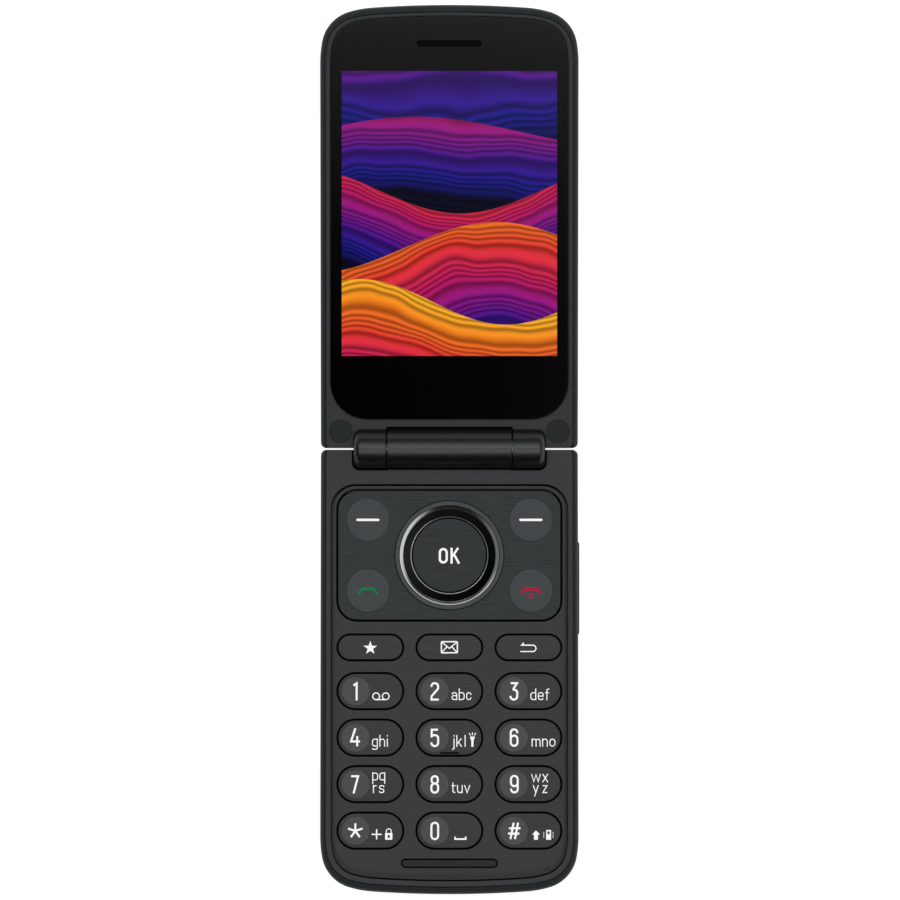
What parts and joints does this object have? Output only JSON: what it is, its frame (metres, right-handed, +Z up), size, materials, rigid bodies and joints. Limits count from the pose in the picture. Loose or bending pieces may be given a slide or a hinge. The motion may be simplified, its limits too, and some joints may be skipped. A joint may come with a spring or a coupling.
{
  "type": "flip phone",
  "caption": "Folding mobile phone, open flat: a screen half and a keypad half on a barrel hinge, with sprung keys, a rocking navigation ring and a side volume key.",
  "frame": {"origin": "middle of the footprint on the surface that the open phone lies on: the hinge line is over it, and the battery cover's back is at zero height", "axes": "+X to the right as the screen is read, +Y from the keypad towards the earpiece, +Z up, out of the screen and keys"},
  "size_m": [0.0583, 0.2004, 0.0149],
  "materials": {
    "shell_plastic": "fine satin, charcoal",
    "frame_plastic": "satin, charcoal grey",
    "panel_plastic": "satin with fine cross brushing",
    "key_plastic": "satin with fine cross brushing, white print",
    "ring_gloss": "gloss black with a bright bevel",
    "black_lens": "polished black window",
    "display": "lit picture",
    "rubber_part": "matt",
    "mesh_metal": "woven mesh",
    "board": "solder resist",
    "light_metal": "satin",
    "steel": "satin",
    "contact_metal": "gold plate",
    "device_plastic": "matt black",
    "torch_plastic": "diffusing lens"
  },
  "bodies": {
    "base": {"rear_housing": "shell_plastic", "keypad_housing": "frame_plastic", "battery_cover": "shell_plastic", "battery": "light_metal", "nav_panel": "panel_plastic", "keypad_membrane": "rubber_part", "dome_sheet": "steel", "main_board": "board", "shield_can": "light_metal", "battery_contacts": "contact_metal", "sim_holder": "light_metal", "loudspeaker": "device_plastic", "microphone": "device_plastic", "vibration_motor": "steel", "usb_socket": "steel", "bumper_strip": "rubber_part", "base_screws": "steel", "hinge_case": "steel", "hinge_cam": "steel", "hinge_spring": "steel"},
    "lid": {"lid_outer_cover": "shell_plastic", "lid_inner_frame": "frame_plastic", "screen_lens": "black_lens", "display_panel": "display", "earpiece_speaker": "device_plastic", "earpiece_mesh": "mesh_metal", "lid_circuit_board": "board", "outer_screen_lens": "black_lens", "outer_display_panel": "display", "camera_module": "device_plastic", "camera_window": "black_lens", "torch_led": "torch_plastic", "closing_magnet": "steel", "lid_screws": "steel", "lid_screw_caps": "rubber_part", "hinge_shaft": "steel", "hinge_bush": "steel"},
    "nav_actuator_body": {"nav_actuator": "rubber_part"},
    "nav_ring_body": {"nav_ring": "ring_gloss"},
    "volume_key_body": {"volume_key": "shell_plastic"},
    "soft_key_left_body": {"soft_key_left": "key_plastic"},
    "soft_key_right_body": {"soft_key_right": "key_plastic"},
    "call_key_body": {"call_key": "key_plastic"},
    "end_key_body": {"end_key": "key_plastic"},
    "favourites_key_body": {"favourites_key": "key_plastic"},
    "message_key_body": {"message_key": "key_plastic"},
    "back_key_body": {"back_key": "key_plastic"},
    "key_1_body": {"key_1": "key_plastic"},
    "key_2_body": {"key_2": "key_plastic"},
    "key_3_body": {"key_3": "key_plastic"},
    "key_4_body": {"key_4": "key_plastic"},
    "key_5_body": {"key_5": "key_plastic"},
    "key_6_body": {"key_6": "key_plastic"},
    "key_7_body": {"key_7": "key_plastic"},
    "key_8_body": {"key_8": "key_plastic"},
    "key_9_body": {"key_9": "key_plastic"},
    "key_star_body": {"key_star": "key_plastic"},
    "key_0_body": {"key_0": "key_plastic"},
    "key_hash_body": {"key_hash": "key_plastic"},
    "ok_key_body": {"ok_key": "key_plastic"}
  },
  "joints": [
    {"name": "lid_hinge", "type": "hinge", "parent": "base", "child": "lid", "pos_m": [0, 0, 0.01065], "axis": [1, 0, 0], "range_deg": [0, 180]},
    {"name": "press_soft_key_left", "type": "slide", "parent": "base", "child": "soft_key_left_body", "axis": [0, 0, -1], "range_m": [0, 0.0003], "stiffness_N_per_m": 300},
    {"name": "press_soft_key_right", "type": "slide", "parent": "base", "child": "soft_key_right_body", "axis": [0, 0, -1], "range_m": [0, 0.0003], "stiffness_N_per_m": 300},
    {"name": "press_call_key", "type": "slide", "parent": "base", "child": "call_key_body", "axis": [0, 0, -1], "range_m": [0, 0.0003], "stiffness_N_per_m": 300},
    {"name": "press_end_key", "type": "slide", "parent": "base", "child": "end_key_body", "axis": [0, 0, -1], "range_m": [0, 0.0003], "stiffness_N_per_m": 300},
    {"name": "press_favourites_key", "type": "slide", "parent": "base", "child": "favourites_key_body", "axis": [0, 0, -1], "range_m": [0, 0.0003], "stiffness_N_per_m": 300},
    {"name": "press_message_key", "type": "slide", "parent": "base", "child": "message_key_body", "axis": [0, 0, -1], "range_m": [0, 0.0003], "stiffness_N_per_m": 300},
    {"name": "press_back_key", "type": "slide", "parent": "base", "child": "back_key_body", "axis": [0, 0, -1], "range_m": [0, 0.0003], "stiffness_N_per_m": 300},
    {"name": "press_key_1", "type": "slide", "parent": "base", "child": "key_1_body", "axis": [0, 0, -1], "range_m": [0, 0.0003], "stiffness_N_per_m": 300},
    {"name": "press_key_2", "type": "slide", "parent": "base", "child": "key_2_body", "axis": [0, 0, -1], "range_m": [0, 0.0003], "stiffness_N_per_m": 300},
    {"name": "press_key_3", "type": "slide", "parent": "base", "child": "key_3_body", "axis": [0, 0, -1], "range_m": [0, 0.0003], "stiffness_N_per_m": 300},
    {"name": "press_key_4", "type": "slide", "parent": "base", "child": "key_4_body", "axis": [0, 0, -1], "range_m": [0, 0.0003], "stiffness_N_per_m": 300},
    {"name": "press_key_5", "type": "slide", "parent": "base", "child": "key_5_body", "axis": [0, 0, -1], "range_m": [0, 0.0003], "stiffness_N_per_m": 300},
    {"name": "press_key_6", "type": "slide", "parent": "base", "child": "key_6_body", "axis": [0, 0, -1], "range_m": [0, 0.0003], "stiffness_N_per_m": 300},
    {"name": "press_key_7", "type": "slide", "parent": "base", "child": "key_7_body", "axis": [0, 0, -1], "range_m": [0, 0.0003], "stiffness_N_per_m": 300},
    {"name": "press_key_8", "type": "slide", "parent": "base", "child": "key_8_body", "axis": [0, 0, -1], "range_m": [0, 0.0003], "stiffness_N_per_m": 300},
    {"name": "press_key_9", "type": "slide", "parent": "base", "child": "key_9_body", "axis": [0, 0, -1], "range_m": [0, 0.0003], "stiffness_N_per_m": 300},
    {"name": "press_key_star", "type": "slide", "parent": "base", "child": "key_star_body", "axis": [0, 0, -1], "range_m": [0, 0.0003], "stiffness_N_per_m": 300},
    {"name": "press_key_0", "type": "slide", "parent": "base", "child": "key_0_body", "axis": [0, 0, -1], "range_m": [0, 0.0003], "stiffness_N_per_m": 300},
    {"name": "press_key_hash", "type": "slide", "parent": "base", "child": "key_hash_body", "axis": [0, 0, -1], "range_m": [0, 0.0003], "stiffness_N_per_m": 300},
    {"name": "press_ok_key", "type": "slide", "parent": "base", "child": "ok_key_body", "axis": [0, 0, -1], "range_m": [0, 0.0003], "stiffness_N_per_m": 300},
    {"name": "nav_tilt_up_down", "type": "hinge", "parent": "base", "child": "nav_actuator_body", "pos_m": [0, -0.024, 0.009], "axis": [1, 0, 0], "range_deg": [-1, 1], "stiffness_Nm_per_rad": 0.1},
    {"name": "nav_tilt_left_right", "type": "hinge", "parent": "nav_actuator_body", "child": "nav_ring_body", "pos_m": [0, -0.024, 0.009], "axis": [0, 1, 0], "range_deg": [-1, 1], "stiffness_Nm_per_rad": 0.1},
    {"name": "volume_rock", "type": "hinge", "parent": "base", "child": "volume_key_body", "pos_m": [0.0276, -0.0316, 0.00495], "axis": [0, 0, 1], "range_deg": [-1, 1], "stiffness_Nm_per_rad": 0.1}
  ]
}
